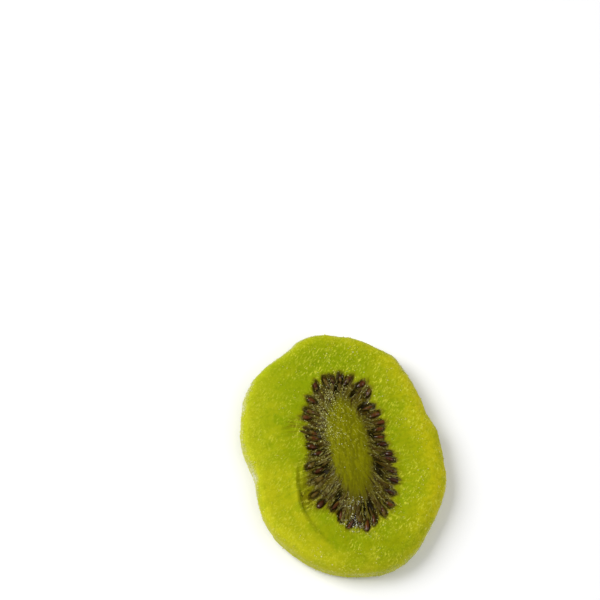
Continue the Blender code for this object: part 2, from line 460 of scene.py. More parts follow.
def to_mesh(name, shape):
    mesh = bpy.data.meshes.new(name)
    shape.to_mesh(mesh)
    shape.free()
    return mesh


def vectors(data, key="vector"):
    """The vectors that a mesh keeps for its vertices, one in each row."""
    values = np.empty(3 * len(data))
    data.foreach_get(key, values)
    return values.reshape(-1, 3)


def set_points(mesh, points):
    mesh.vertices.foreach_set("co", points.astype(np.float32).ravel())
    mesh.update()


def set_attribute(mesh, name, values):
    """Keep a number or a vector for each vertex, for the materials to read."""
    kind, key = ("FLOAT", "value") if values.ndim == 1 else ("FLOAT_VECTOR", "vector")
    data = mesh.attributes.new(name, kind, "POINT").data
    data.foreach_set(key, values.astype(np.float32).ravel())


def ball_shape(sides, rings, radius=1.0):
    """A ball with its poles on X, to be drawn out along it."""
    unit = bmesh.new()
    bmesh.ops.create_uvsphere(unit, u_segments=sides, v_segments=rings, radius=radius)
    bmesh.ops.rotate(unit, verts=unit.verts, matrix=Matrix.Rotation(math.pi / 2.0, 3, "Y"))
    return unit


def copies(name, unit, count):
    """A mesh of so many copies of a unit shape, and the unit's own points."""
    source = to_mesh(name + "_unit", unit)
    points = vectors(source.vertices, "co")
    shape = bmesh.new()
    for _ in range(count):
        shape.from_mesh(source)
    bpy.data.meshes.remove(source)
    return to_mesh(name, shape), points


def turned(points, heading, tilt, roll):
    """Points turned about X, then Y, then Z, in radians."""
    matrix = Euler((roll, tilt, heading)).to_matrix()
    return points @ np.array(matrix).T


def add_object(name, data):
    thing = bpy.data.objects.new(name, data)
    bpy.context.scene.collection.objects.link(thing)
    return thing


def add_piece(mesh, points, attributes, finish, smooth=True):
    """Give a mesh its points, in millimetres, and looks, and tie it to the slice's body."""
    set_points(mesh, points * MM)
    for key, values in attributes.items():
        set_attribute(mesh, key, values)
    mesh.materials.append(finish)
    if smooth:
        mesh.shade_smooth()
    thing = add_object(mesh.name, mesh)
    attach(thing, BODY)
    return thing


def add_copies(mesh, laid, finish, smooth=True):
    """Add a piece of many copies, laid by their points and attributes.

    An attribute is a number for all of a copy or a value for each of its points. No
    copy reaches below the surface on which the slice lies.
    """
    points = np.vstack([copy for copy, _ in laid])
    points[:, 2] = np.maximum(points[:, 2], 0.0)
    attributes = {key: [] for key in laid[0][1]}
    for copy, kept in laid:
        for key, value in kept.items():
            shape = (len(copy), *np.shape(value)[1:])
            attributes[key].append(np.broadcast_to(value, shape))
    attributes = {key: np.concatenate(values) for key, values in attributes.items()}
    add_piece(mesh, points, attributes, finish, smooth)


# ---- Materials ----

class Finish:
    """A procedural material, put together from nodes that each give back a socket."""

    def __init__(self, name, settings, **shader_values):
        self.settings = settings
        self.material = bpy.data.materials.new(name)
        self.material.use_nodes = True
        self.tree = self.material.node_tree
        self.shader = self.tree.nodes["Principled BSDF"]
        for socket, value in shader_values.items():
            self.use(socket.replace("_", " "), value)

    def use(self, socket, value):
        """Set or link one of the shader's own sockets."""
        self.put(self.shader.inputs[socket], value)

    def put(self, socket, value):
        if isinstance(value, bpy.types.NodeSocket):
            self.tree.links.new(value, socket)
        else:
            socket.default_value = value

    def node(self, kind, output, sockets, **settings):
        """Add a node, set it up, set or link its inputs, and give back one output."""
        made = self.tree.nodes.new("ShaderNode" + kind)
        made.location = (-260 * (len(self.tree.nodes) % 7 + 1), -220 * (len(self.tree.nodes) // 7))
        for name, value in settings.items():
            setattr(made, name, value)
        for key, value in sockets.items():
            self.put(made.inputs[key], value)
        return made.outputs[output]

    def place(self):
        return self.node("TexCoord", "Object", {})

    def attribute(self, name, output="Fac"):
        return self.node("Attribute", output, {}, attribute_name=name)

    def stretch(self, vector, scale, turn=0.0):
        """Scale a place, after a turn about Z in degrees."""
        if turn:
            sockets = {"Vector": vector, "Rotation": (0.0, 0.0, math.radians(turn))}
            vector = self.node("Mapping", "Vector", sockets)
        return self.node("Mapping", "Vector", {"Vector": vector, "Scale": scale})

    def axis(self, vector, axis):
        return self.node("SeparateXYZ", axis, {0: vector})

    def grain(self, vector, scale, detail=2.0, roughness=0.5):
        """Noise between 0 and 1. On Object coordinates, scale counts in a metre."""
        sockets = {"Vector": vector, "Scale": scale, "Detail": detail, "Roughness": roughness}
        return self.node("TexNoise", "Fac", sockets)

    def streaks(self, ray, around, along, detail=2.0, roughness=0.5):
        """Noise that runs along the fruit's rays."""
        return self.grain(self.stretch(ray, (around, around, along)), 1.0, detail, roughness)

    def net(self, vector, scale):
        """Distance to the nearest of scattered points."""
        sockets = {"Vector": vector, "Scale": scale, "Randomness": 1.0}
        return self.node("TexVoronoi", "Distance", sockets)

    def spot(self, place, x, y, reach):
        """1 at a place on the upper face, easing to 0 at a distance from it, in millimetres."""
        sockets = {0: place, 1: (x * MM, y * MM, FLESH_HEIGHT * MM)}
        return self.fit(self.node("VectorMath", "Value", sockets, operation="DISTANCE"), reach * MM, 0.0)

    def fit(self, value, start, end, low=0.0, high=1.0):
        """Ease a value from low to high between start and end."""
        sockets = {"Value": value, "From Min": start, "From Max": end, "To Min": low, "To Max": high}
        return self.node("MapRange", "Result", sockets, interpolation_type="SMOOTHSTEP")

    def chain(self, operation, first, *others):
        for other in others:
            first = self.node("Math", 0, {0: first, 1: other}, operation=operation)
        return first

    def times(self, *values):
        return self.chain("MULTIPLY", *values)

    def plus(self, *values):
        return self.chain("ADD", *values)

    def layer(self, below, above, *shares, blend="MIX"):
        """Lay a colour over another by a share, or by the product of several.

        A colour is a socket, three numbers or the name of one of the settings' colours.
        """
        sockets = {0: self.times(*shares)}
        for key, tint in ((6, below), (7, above)):
            if isinstance(tint, str):
                tint = getattr(self.settings, tint)
            sockets[key] = tint if isinstance(tint, bpy.types.NodeSocket) else (*tint, 1.0)
        return self.node("Mix", 2, sockets, data_type="RGBA", blend_type=blend)

    def bump(self, height, distance, strength=1.0, normal=None):
        """distance is the height of the bump in metres."""
        sockets = {"Height": height, "Distance": distance, "Strength": strength}
        if normal is not None:
            sockets["Normal"] = normal
        return self.node("Bump", "Normal", sockets)


def flesh_finish(settings):
    """Candied flesh, seed band and core, told apart by the way out along the rays."""
    paint = Finish(
        "candied flesh",
        settings,
        Subsurface_Weight=0.3,
        Subsurface_Radius=(1.0, 0.9, 0.15),
        Subsurface_Scale=0.0011,
        Specular_IOR_Level=0.015,
        Coat_Roughness=0.14,
        Coat_IOR=1.4,
    )
    stretch, grain, streaks, spot = paint.stretch, paint.grain, paint.streaks, paint.spot
    fit, times, plus, layer = paint.fit, paint.times, paint.plus, paint.layer
    place = paint.place()
    ray = paint.attribute("ray", "Vector")
    out = paint.axis(ray, "Z")
    side, along, up = (paint.axis(place, axis) for axis in "XYZ")
    fine_streak = streaks(ray, 45.0, 9.0, 3.0, 0.6)
    broad_streak = streaks(ray, 13.0, 3.0)
    cloud = grain(place, 120.0)
    mottle = grain(place, 430.0, 3.0, 0.6)
    pebble = grain(place, 1500.0, 3.0, 0.65)
    fewer = fit(side, -0.012, 0.003, 0.6, 1.0)  # on the smooth left side

    # Flesh: deep lime near the seeds and paler outwards, partly the flesh's own colour and
    # partly painted shade in the seed band's dip. Painted light makes the swollen ring and
    # the left lighter and yellower, and the soft right edge lighter and golden; painted shade
    # makes the far end and the bottom middle greener and darker.
    uneven = plus(out, times(plus(cloud, -0.5), 0.35))
    flesh = layer("inner", "flesh", fit(uneven, 0.54, 0.92))
    # Painted shade: the far end of the flesh is made greener and darker.
    far = fit(plus(along, times(side, -0.3)), 0.006, 0.019)
    flesh = layer(flesh, "lime", far, 0.75)
    # Painted shade: the bottom middle, inside the rim, takes the deeper, darker inner colour.
    low = times(fit(along, -0.012, -0.018), fit(side, -0.009, -0.003), fit(side, 0.012, 0.005))
    flesh = layer(flesh, "inner", low, fit(out, 0.97, 0.85))
    # Painted light: the left side of the flesh is made paler and lighter.
    left = times(fit(side, -0.003, -0.013), fit(uneven, 0.56, 0.78), fit(along, 0.023, 0.015))
    flesh = layer(flesh, "pale", left, 0.85)
    # Partly painted light: the swollen ring is made lighter and yellower where it rises.
    swell = fit(paint.attribute("swell"), 0.12, 0.7)
    flesh = layer(flesh, "ring", swell)
    # A golden tint with painted light: the soft right edge is made warmer and lighter.
    smooth = plus(out, times(plus(cloud, -0.5), 0.15))
    rim = times(fit(smooth, 0.72, 1.0), fit(side, -0.012, 0.01), fit(along, -0.024, -0.014))
    flesh = layer(flesh, "golden", rim, fit(along, 0.021, 0.012, 0.5, 1.0))
    flesh = layer(flesh, "glow", fit(out, 0.84, 1.02), blend="ADD")

    # Green mottling, veins, a bruise, stains by the seeds and soft blotches.
    flesh = layer(flesh, "lime", fit(mottle, 0.46, 0.68), fit(out, 1.05, 0.7), 0.55)
    veins = fit(streaks(ray, 26.0, 4.0, 3.0, 0.6), 0.5, 0.64)
    flesh = layer(flesh, "lime", veins, fit(uneven, 0.86, 0.62), 0.45)
    flesh = layer(flesh, "lime", spot(place, *BRUISE), fit(mottle, 0.36, 0.6))
    tinge = times(spot(place, *STEP_STAIN), fit(swell, 0.5, 0.1))
    fringe = times(spot(place, *FRINGE_STAIN), fit(fine_streak, 0.42, 0.56))
    flesh = layer(flesh, "stain", plus(times(tinge, fit(mottle, 0.3, 0.6, 0.6, 0.9)), fringe))
    bits = fit(grain(place, 1700.0, 1.0), 0.58, 0.68)
    flesh = layer(flesh, "brown", tinge, bits, 0.8)
    blotch = grain(place, 290.0, 1.0)
    flesh = layer(flesh, "lime", fit(blotch, 0.5, 0.34), 0.3)
    flesh = layer(flesh, "ring", fit(blotch, 0.52, 0.68), fit(out, 0.66, 0.82), 0.35)
    # Painted shadow: darker, clear green flesh at the foot of the swollen ring's step.
    flesh = layer(flesh, "foot", paint.attribute("foot"), fit(mottle, 0.3, 0.65, 0.1, 0.6))
    flesh = layer(flesh, "shade", fit(pebble, 0.56, 0.36), fewer, 0.7, blend="MULTIPLY")

    # Small pale flecks in clusters, partly painted glints on the grainy skin, pale threads by
    # the seeds and fine dust on the rim.
    slant = stretch(place, (2.1, 0.8, 1.4), 45.0)
    cluster = fit(grain(place, 210.0), 0.36, 0.58)
    fleck = times(fit(grain(slant, 1500.0, 3.0, 0.6), 0.52, 0.66), cluster, fewer)
    flesh = layer(flesh, "fleck", fleck, 0.85)
    flesh = layer(flesh, "fleck", fit(fine_streak, 0.57, 0.72), fit(out, 0.74, 0.52), 0.6)
    dust = fit(grain(place, 3000.0, 2.0, 0.6), 0.55, 0.67)
    flesh = layer(flesh, "fleck", dust, fit(out, 0.72, 0.95), 0.4)

    # Dry sugar: grains all over the wall, and a film where frost is thick on the rim.
    wall = times(fit(out, 0.95, 0.995), fit(up, 0.0046, 0.0032))
    grains = fit(grain(place, 2600.0, 3.0, 0.7), 0.49, 0.6)
    flesh = layer(flesh, "frost", wall, grains, fit(cloud, 0.36, 0.56, 0.3, 1.0), 0.6)
    flesh = layer(flesh, "frost", paint.attribute("frost"), fit(pebble, 0.36, 0.56), 0.85)

    # Seed band: dark olive brown with streaks, reaching out round each seed.
    speck = streaks(ray, 70.0, 55.0, 3.0, 0.7)
    strands = plus(times(fine_streak, 0.45), times(speck, 0.55))
    band = layer("band", "strand", fit(strands, 0.47, 0.62))
    band = layer(band, "brown", fit(broad_streak, 0.48, 0.64))
    # Partly painted glints: light specks in the seed band stand in for wet sparkle, besides pale grains.
    band = layer(band, "glint", fit(grain(place, 2700.0, 2.0, 0.6), 0.57, 0.66), 0.6)
    # Painted shade: dark pits by noise, and from the dark attribute the beds round the seeds and the
    # carved pits.
    pits = grain(stretch(place, (1.0, 1.3, 1.0), 30.0), 1900.0, 2.0, 0.6)
    pits = plus(times(fit(pits, 0.55, 0.64), 0.75), paint.attribute("dark"))
    band = layer(band, "hollow", pits)
    ragged = times(plus(fine_streak, -0.5), 0.07)
    ragged = plus(ragged, times(plus(broad_streak, -0.5), 0.16))
    bleed = times(fit(side, -0.003, -0.008), fit(along, -0.003, 0.002), fit(along, 0.012, 0.007))
    bleed = times(bleed, fit(fine_streak, 0.46, 0.6), -0.05)
    edge = plus(out, ragged, bleed, times(paint.attribute("near"), -0.065))

    # Core: olive, streaked lengthwise above and along the rays below, dim at its edge.
    lengthwise = grain(stretch(place, (2.2, 0.45, 1.0), 8.0), 1100.0)
    lengthwise = plus(times(lengthwise, 0.6), times(pebble, 0.4))
    core = layer("core", "core_pale", fit(lengthwise, 0.42, 0.6))
    below = fit(along, 0.001, -0.006)
    core = layer(core, "core_dim", below, fit(fine_streak, 0.5, 0.66), 0.5)
    # Partly painted glints: pale strokes on the upper core stand in for sparkle, besides pale streaks.
    strokes = grain(stretch(place, (1.9, 0.9, 1.0), -22.0), 1500.0, 2.0, 0.6)
    strokes = times(fit(strokes, 0.57, 0.67), fit(along, -0.004, 0.003, 0.15, 0.75))
    core = layer(core, "core_glint", strokes)
    dim = plus(times(fit(along, -0.004, -0.0105), 0.9), fit(out, 0.2, 0.32))
    dim = plus(dim, times(fit(side, 0.001, 0.005), fit(out, 0.1, 0.24), 0.5))
    core = layer(core, "core_dim", dim, 0.6)

    inside = fit(plus(out, ragged), 0.30, 0.215)
    flesh = layer(flesh, "stain", fit(edge, 0.58, 0.46), 0.6)
    paint.use("Base Color", layer(layer(band, core, inside), flesh, fit(edge, 0.44, 0.505)))
    wet = times(fit(edge, 0.5, 0.43), fit(inside, 0.6, 0.1), fit(mottle, 0.42, 0.62), 0.22)
    paint.use("Coat Weight", wet)
    gloss = fit(mottle, 0.3, 0.7, 0.36, 0.54)
    paint.use("Roughness", plus(gloss, times(fleck, -0.12)))
    skin_bump = paint.bump(plus(pebble, times(fleck, 0.5)), 0.00007)
    paint.use("Normal", paint.bump(fine_streak, 0.00004, 0.7, skin_bump))
    return paint.material


def seed_finish(settings):
    """Glossy red-brown seed coat with a netted skin, lighter on its top as painted light and darker on
    its flanks and back as painted shade.
    """
    paint = Finish(
        "seed coat", settings, Specular_IOR_Level=0.08, Coat_Roughness=0.07, Coat_IOR=1.5
    )
    place = paint.place()
    # tone: a random amount for each seed, times painted light on its top; flanks and back get painted
    # shade.
    body = paint.layer("dark", "light", paint.attribute("tone"))
    cover = paint.plus(paint.grain(place, 1300.0), paint.times(paint.attribute("cover"), 0.3))
    paint.use("Base Color", paint.layer(body, "film", paint.fit(cover, 0.66, 0.8), 0.8))
    net = paint.net(place, 4200.0)
    wavy = paint.bump(paint.grain(place, 1500.0), 0.00016)
    paint.use("Normal", paint.bump(net, 0.00005, 0.8, wavy))
    paint.use("Coat Weight", paint.fit(paint.grain(place, 1900.0, 1.0), 0.5, 0.62))
    paint.use("Roughness", paint.fit(net, 0.1, 0.7, 0.3, 0.45))
    return paint.material


def fibre_finish(settings):
    """Pale dried fibre, a little clearer where it is thin."""
    paint = Finish(
        "dried fibre",
        settings,
        Subsurface_Weight=0.3,
        Subsurface_Radius=(1.0, 0.9, 0.3),
        Subsurface_Scale=0.0005,
        Specular_IOR_Level=0.12,
    )
    place = paint.place()
    body = paint.layer("dark", "light", paint.attribute("tone"))
    spots = paint.fit(paint.grain(place, 1600.0), 0.5, 0.7)
    paint.use("Base Color", paint.layer(body, "dark", spots, 0.5))
    paint.use("Roughness", paint.fit(paint.grain(place, 2500.0), 0.3, 0.7, 0.25, 0.5))
    paint.use("Normal", paint.bump(paint.grain(place, 5000.0), 0.00002))
    return paint.material


def pod_finish(settings):
    """Dried seed pods, brown or greyed, with streaks along the rays."""
    paint = Finish(
        "seed pod",
        settings,
        Subsurface_Weight=0.25,
        Subsurface_Radius=(1.0, 0.8, 0.2),
        Subsurface_Scale=0.0006,
        Specular_IOR_Level=0.06,
    )
    streak = paint.streaks(paint.attribute("ray", "Vector"), 60.0, 8.0, 3.0, 0.6)
    body = paint.layer("dark", "light", paint.attribute("tone"))
    paint.use("Base Color", paint.layer(body, "dark", paint.fit(streak, 0.62, 0.4)))
    paint.use("Roughness", paint.fit(paint.grain(paint.place(), 1500.0), 0.35, 0.65, 0.24, 0.5))
    paint.use("Normal", paint.bump(streak, 0.00006))
    return paint.material


def sugar_finish(settings):
    """Sugar crystals, from clear white to syrup yellow."""
    paint = Finish(
        "sugar",
        settings,
        Specular_IOR_Level=0.18,
        Subsurface_Weight=0.5,
        Subsurface_Radius=(1.0, 0.95, 0.5),
        Subsurface_Scale=0.0006,
    )
    place = paint.place()
    body = paint.layer("white", "syrup", paint.attribute("tone"))
    cloudy = paint.fit(paint.grain(place, 4000.0), 0.45, 0.7)
    paint.use("Base Color", paint.layer(body, "white", cloudy, 0.25))
    paint.use("Roughness", paint.fit(paint.grain(place, 3000.0), 0.3, 0.7, 0.12, 0.4))
    paint.use("Normal", paint.bump(paint.grain(place, 9000.0), 0.00001))
    return paint.material


def floor_finish(settings):
    """Pale matt board with a faint grain."""
    paint = Finish("pale board", settings, Specular_IOR_Level=0.1)
    grain = paint.grain(paint.place(), 60.0)
    shade = [0.985 * value for value in settings.floor]
    paint.use("Base Color", paint.layer("floor", shade, grain))
    paint.use("Roughness", paint.fit(grain, 0.3, 0.7, 0.75, 0.9))
    return paint.material


# ---- Settings ----

def colour(description, default):
    looks = {"subtype": "COLOR", "size": 3, "min": 0.0, "max": 1.0}
    return FloatVectorProperty(description=description, default=default, **looks)


def number(description, default, unit="LENGTH", least=0.0):
    looks = {"min": least, "unit": unit, "precision": 5}
    return FloatProperty(description=description, default=default, **looks)


def count(description, default):
    return IntProperty(description=description, default=default, min=1)


class FleshSettings(bpy.types.PropertyGroup):
    pebble_height: number("Height of the pebbly skin", 0.00006)
    wrinkle_height: number("Height of the wrinkles along the rays", 0.00006)
    lump_height: number("Height of the broad lumps of the flesh", 0.00012)
    strand_height: number("Height of the strands of the seed band", 0.00018)
    hollow_depth: number("Depth of the pits between the seeds", 0.0006)
    flesh: colour("Candied flesh", (0.365, 0.385, 0.004))
    # inner: partly the clearer flesh round the seeds, partly painted shade in the dip and at the bottom
    # middle
    inner: colour("Clearer flesh round the seeds", (0.272, 0.312, 0.002))
    # pale is painted light on the left side of the flesh
    pale: colour("Smooth flesh of the left side", (0.385, 0.415, 0.006))
    # ring is partly painted light on the swollen ring, and also the colour of the yellow blotches
    ring: colour("Swollen ring", (0.42, 0.422, 0.006))
    # golden is a warmer tint with painted light on the soft right edge
    golden: colour("Flesh of the soft edge", (0.505, 0.45, 0.004))
    # lime is also painted shade at the far end of the flesh
    lime: colour("Greener flesh", (0.245, 0.325, 0.002))
    # a painted shadow at the foot of the swollen ring's step
    foot: colour("Clear flesh at the foot of the step", (0.27, 0.272, 0.002))
    shade: colour("Tint of the small dents", (0.76, 0.82, 0.55))
    # the flecks are partly painted glints
    fleck: colour("Light yellow flecks and threads", (0.64, 0.64, 0.05))
    frost: colour("Sugar film on the rim", (0.60, 0.59, 0.32))
    band: colour("Flesh between the seeds", (0.080, 0.062, 0.002))
    strand: colour("Paler strands of the seed band", (0.200, 0.180, 0.026))
    # partly painted glints in the seed band, partly pale grains
    glint: colour("Light grains of the seed band", (0.34, 0.31, 0.11))
    brown: colour("Brown stains round the seeds", (0.046, 0.028, 0.002))
    stain: colour("Flesh stained by the seeds", (0.15, 0.125, 0.002))
    glow: colour("Light that shines through the thin edge", (0.105, 0.095, 0.005))
    # painted shade in the pits and the seed beds
    hollow: colour("Dark of the pits and seed beds", (0.014, 0.010, 0.001))
    core: colour("Olive core", (0.138, 0.136, 0.001))
    core_pale: colour("Paler streaks of the core", (0.205, 0.203, 0.001))
    # partly painted glints on the upper core
    core_glint: colour("Pale strokes of the core", (0.40, 0.38, 0.05))
    core_dim: colour("Dim edge and lower end of the core", (0.094, 0.084, 0.002))


class SeedSettings(bpy.types.PropertyGroup):
    # dark is also painted shade on the seeds' flanks and backs, light is painted light on their tops
    dark: colour("Darkest seeds and flanks", (0.016, 0.005, 0.001))
    light: colour("Lightest, reddest seeds", (0.115, 0.032, 0.003))
    film: colour("Dried pulp that covers parts of the seeds", (0.12, 0.088, 0.010))


class PodSettings(bpy.types.PropertyGroup):
    amount: count("Seed pods on each cut face", 62)
    length: number("Length of the longest pod", 0.0032)
    width: number("Width of the widest pod", 0.0009)
    dark: colour("Brown pods", (0.055, 0.034, 0.002))
    light: colour("Dried, empty pods", (0.20, 0.175, 0.045))


class FibreSettings(bpy.types.PropertyGroup):
    amount: count("Fibres on each cut face", 190)
    length: number("Length of the longest fibre", 0.0012)
    thickness: number("Thickness of the thickest fibre", 0.00022)
    dark: colour("Darkest fibre", (0.12, 0.10, 0.012))
    light: colour("Lightest fibre", (0.27, 0.255, 0.09))


class SugarSettings(bpy.types.PropertyGroup):
    amount: count("Sugar crystals on the slice", 5600)
    size: number("Side of the largest crystal", 0.00034)
    white: colour("Clear, dry sugar", (0.88, 0.88, 0.72))
    syrup: colour("Sugar soaked with juice", (0.64, 0.62, 0.03))


class StageSettings(bpy.types.PropertyGroup):
    floor_size: number("Side of the square floor", 6.0)
    floor_gap: number("Gap between the floor and the slice", 0.00002)
    floor: colour("Pale floor", (0.96, 0.96, 0.96))
    world_strength: number("Strength of the pale world", 0.24, "NONE")
    key_power: number("Power of the soft key light", 5.1, "POWER")
    fill_power: number("Power of the overhead fill", 3.7, "POWER")
    lens: number("Focal length of the camera", 100.0, "CAMERA", 1.0)


# ---- Operators ----

class Step:
    """What the operators share."""

    bl_options = {"REGISTER", "UNDO"}


class KIWI_OT_flesh(Step, bpy.types.Operator):
    """Build the fine skin of the slice, which stands for its solid"""

    bl_idname = "kiwi.flesh"
    bl_label = "Add Flesh"

    # The dark bed round each seed is painted shade.
    NEAR = (0.5, 0.2)  # how far a seed's rise and its dark bed fade out, in half seeds

    def execute(self, context):
        settings = context.scene.kiwi_flesh
        mesh = fine_ball()
        ball = vectors(mesh.vertices, "co")
        turn = np.arctan2(ball[:, 1], ball[:, 0])
        row = np.round(ROWS * np.arccos(np.clip(ball[:, 2], -1.0, 1.0)) / math.pi)
        points, out = skin(turn, row)
        set_points(mesh, points)
        top = row < TOP_ROWS + BROW_ROWS
        faces = (seed_poses(TOP_DRAW, 1), seed_poses(BASE_DRAW, -1))
        near, bed_shade = (
            np.where(top, *(near_seeds(points, poses, fade) for poses in faces)) for fade in self.NEAR
        )
        rise = relief(points, turn, out, near, settings)
        points = points + vectors(mesh.vertex_normals) * rise[:, None]
        points[:, 2] = np.maximum(points[:, 2], 0.0)
        spread = np.minimum(out / 0.02, 1.0)
        # Painted shade: a dark bed round each seed, fading out before the flesh.
        bed_shade = 0.6 * bed_shade * (1.0 - ease((out - 0.5) / 0.05))
        puff, share = ring_share(turn, out)
        attributes = {
            "ray": np.column_stack((np.cos(turn) * spread, np.sin(turn) * spread, out)),
            "swell": puff * share,
            "near": near,
            # share of the shadow painted at the foot of the step
            "foot": step_shadow_share(turn, out),
            "frost": frost_share(points, out),
            # painted shade of the seed beds and the carved pits
            "dark": np.maximum(bed_shade, hollow_share(turn, out)),
        }
        flesh = add_piece(mesh, points, attributes, flesh_finish(settings))
        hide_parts(SLICE)
        return {"FINISHED"}


class KIWI_OT_seeds(Step, bpy.types.Operator):
    """Lay glossy seeds over the solid's seeds, on both cut faces"""

    bl_idname = "kiwi.seeds"
    bl_label = "Add Seeds"

    DRAW = 3

    def execute(self, context):
        poses = [(1, *pose) for pose in seed_poses(TOP_DRAW, 1)]
        poses += [(-1, *pose) for pose in seed_poses(BASE_DRAW, -1)]
        mesh, drop = copies("seeds", ball_shape(14, 10, 0.5), len(poses))
        along = 2.0 * drop[:, :1]
        taper = (1.0 + SEED_TAPER * along) * np.maximum(1.0 - along**2, 0.0) ** SEED_POINT
        drop[:, :1] *= SEED_LENGTH
        drop[:, 1:] *= taper * (SEED_WIDTH, SEED_DEPTH)
        chance = random.Random(self.DRAW)
        seeds = []
        for side, place, heading in poses:
            lean = math.radians(chance.uniform(-9.0, 9.0))
            plump = (chance.uniform(0.78, 1.1), chance.uniform(0.52, 0.98), chance.uniform(0.8, 1.04))
            points = turned(drop * plump, heading, lean, chance.uniform(-0.3, 0.3)) + place
            # Painted light and shade: the upper half of each seed is lighter, its flanks and back
            # darker.
            upward = np.maximum(2.0 * side * drop[:, 2] / SEED_DEPTH, 0.0)
            tone = chance.uniform(0.25, 1.0) * upward**1.5
            seeds.append((points, {"tone": tone, "cover": chance.random()}))
        add_copies(mesh, seeds, seed_finish(context.scene.kiwi_seeds))
        return {"FINISHED"}


def along_ray(spindle, side, turn, start, size, bend, rise):
    """A spindle of a length, width and height, laid along a ray from a share of the way out.

    Gives back its points and their ray places. bend is how far its end sways in radians,
    and rise is how far it stands above the skin at its ends and in its middle.
    """
    length, width, height = size
    ray = band_ray(turn)
    span = np.linalg.norm(ray) / (BAND_OUT - CORE_OUT)
    across = np.array((-ray[1], ray[0])) / np.linalg.norm(ray)
    share = 0.5 + 0.5 * spindle[:, 0]
    out = start + length / span * share
    sway = turn + bend * share**2
    flat = plan(sway, out) + across * (0.5 * width * spindle[:, 1])[:, None]
    lift = mix(rise[0], rise[1], np.sin(math.pi * share))
    level = face_height(side, sway, out) + side * lift + 0.5 * height * spindle[:, 2]
    rays = np.column_stack((np.cos(sway), np.sin(sway), out))
    return np.column_stack((flat, np.maximum(level, SPINDLE_CLEAR))), rays


class KIWI_OT_pods(Step, bpy.types.Operator):
    """Lay brown and greyed seed pods between the seeds of both cut faces"""

    bl_idname = "kiwi.pods"
    bl_label = "Add Seed Pods"

    DRAW = 23
    BLUNT = 0.15
    STRAY = 0.08  # how much further out the pods of the stray side are, and how much higher
    LAST_OUT = 0.5  # share of the way out at which pods end

    def execute(self, context):
        settings = context.scene.kiwi_pods
        mesh, spindle = copies("pods", ball_shape(8, 7), 2 * settings.amount)
        along = spindle[:, :1]
        spindle[:, 1:] *= (0.85 + 0.3 * along) * np.maximum(1.0 - along**2, 0.02) ** -self.BLUNT
        chance = random.Random(self.DRAW)
        pods = []
        for side in settings.amount * (1,) + settings.amount * (-1,):
            turn = chance.uniform(0.0, math.tau)
            stray = self.STRAY * float(lobe(math.degrees(turn), *STRAY_SIDE))
            start = mix(CORE_OUT - 0.01, CORE_OUT + 0.1, chance.random()) + stray
            room = (self.LAST_OUT + stray - start) / (BAND_OUT - CORE_OUT)
            room = room * np.linalg.norm(band_ray(turn))
            length = min(settings.length / MM * chance.uniform(0.5, 1.0), room)
            width = settings.width / MM * chance.uniform(0.5, 1.0)
            sunk = chance.uniform(-0.2, -0.06) + stray
            rise = (sunk - 0.05, sunk + 0.1)
            size = (length, width, 0.55 * width)
            bend = chance.uniform(-0.05, 0.05)
            points, rays = along_ray(spindle, side, turn, start, size, bend, rise)
            greyed = 0.8 * float(lobe(math.degrees(turn), *GREYED_SIDE)) + 0.1
            tone = min(max(greyed + chance.uniform(-0.3, 0.3), 0.0), 1.0)
            pods.append((points, {"ray": rays, "tone": tone}))
        add_copies(mesh, pods, pod_finish(settings))
        return {"FINISHED"}


class KIWI_OT_fibres(Step, bpy.types.Operator):
    """Lay thin pale fibres along the rays of both cut faces"""

    bl_idname = "kiwi.fibres"
    bl_label = "Add Fibres"

    DRAW = 11
    EVEN = 0.45  # share of the fibres that don't crowd

    def execute(self, context):
        settings = context.scene.kiwi_fibres
        mesh, spindle = copies("fibres", ball_shape(5, 6), 2 * settings.amount)
        chance = random.Random(self.DRAW)
        fibres = []
        for side in settings.amount * (1,) + settings.amount * (-1,):
            length = settings.length / MM * chance.uniform(0.3, 1.0)
            if chance.random() < self.EVEN:
                turn = chance.uniform(0.0, math.tau)
            else:
                turn = math.radians(chance.gauss(*chance.choice(FIBRE_SIDES)))
            start = chance.uniform(CORE_OUT - 0.04, CORE_OUT + 0.16)
            thick = settings.thickness / MM * chance.uniform(0.45, 1.0)
            rise = (chance.uniform(-0.04, 0.04), chance.uniform(0.0, 0.12))
            bend = chance.uniform(-0.05, 0.05)
            points, _ = along_ray(spindle, side, turn, start, (length, thick, thick), bend, rise)
            fibres.append((points, {"tone": chance.random()}))
        add_copies(mesh, fibres, fibre_finish(settings))
        return {"FINISHED"}


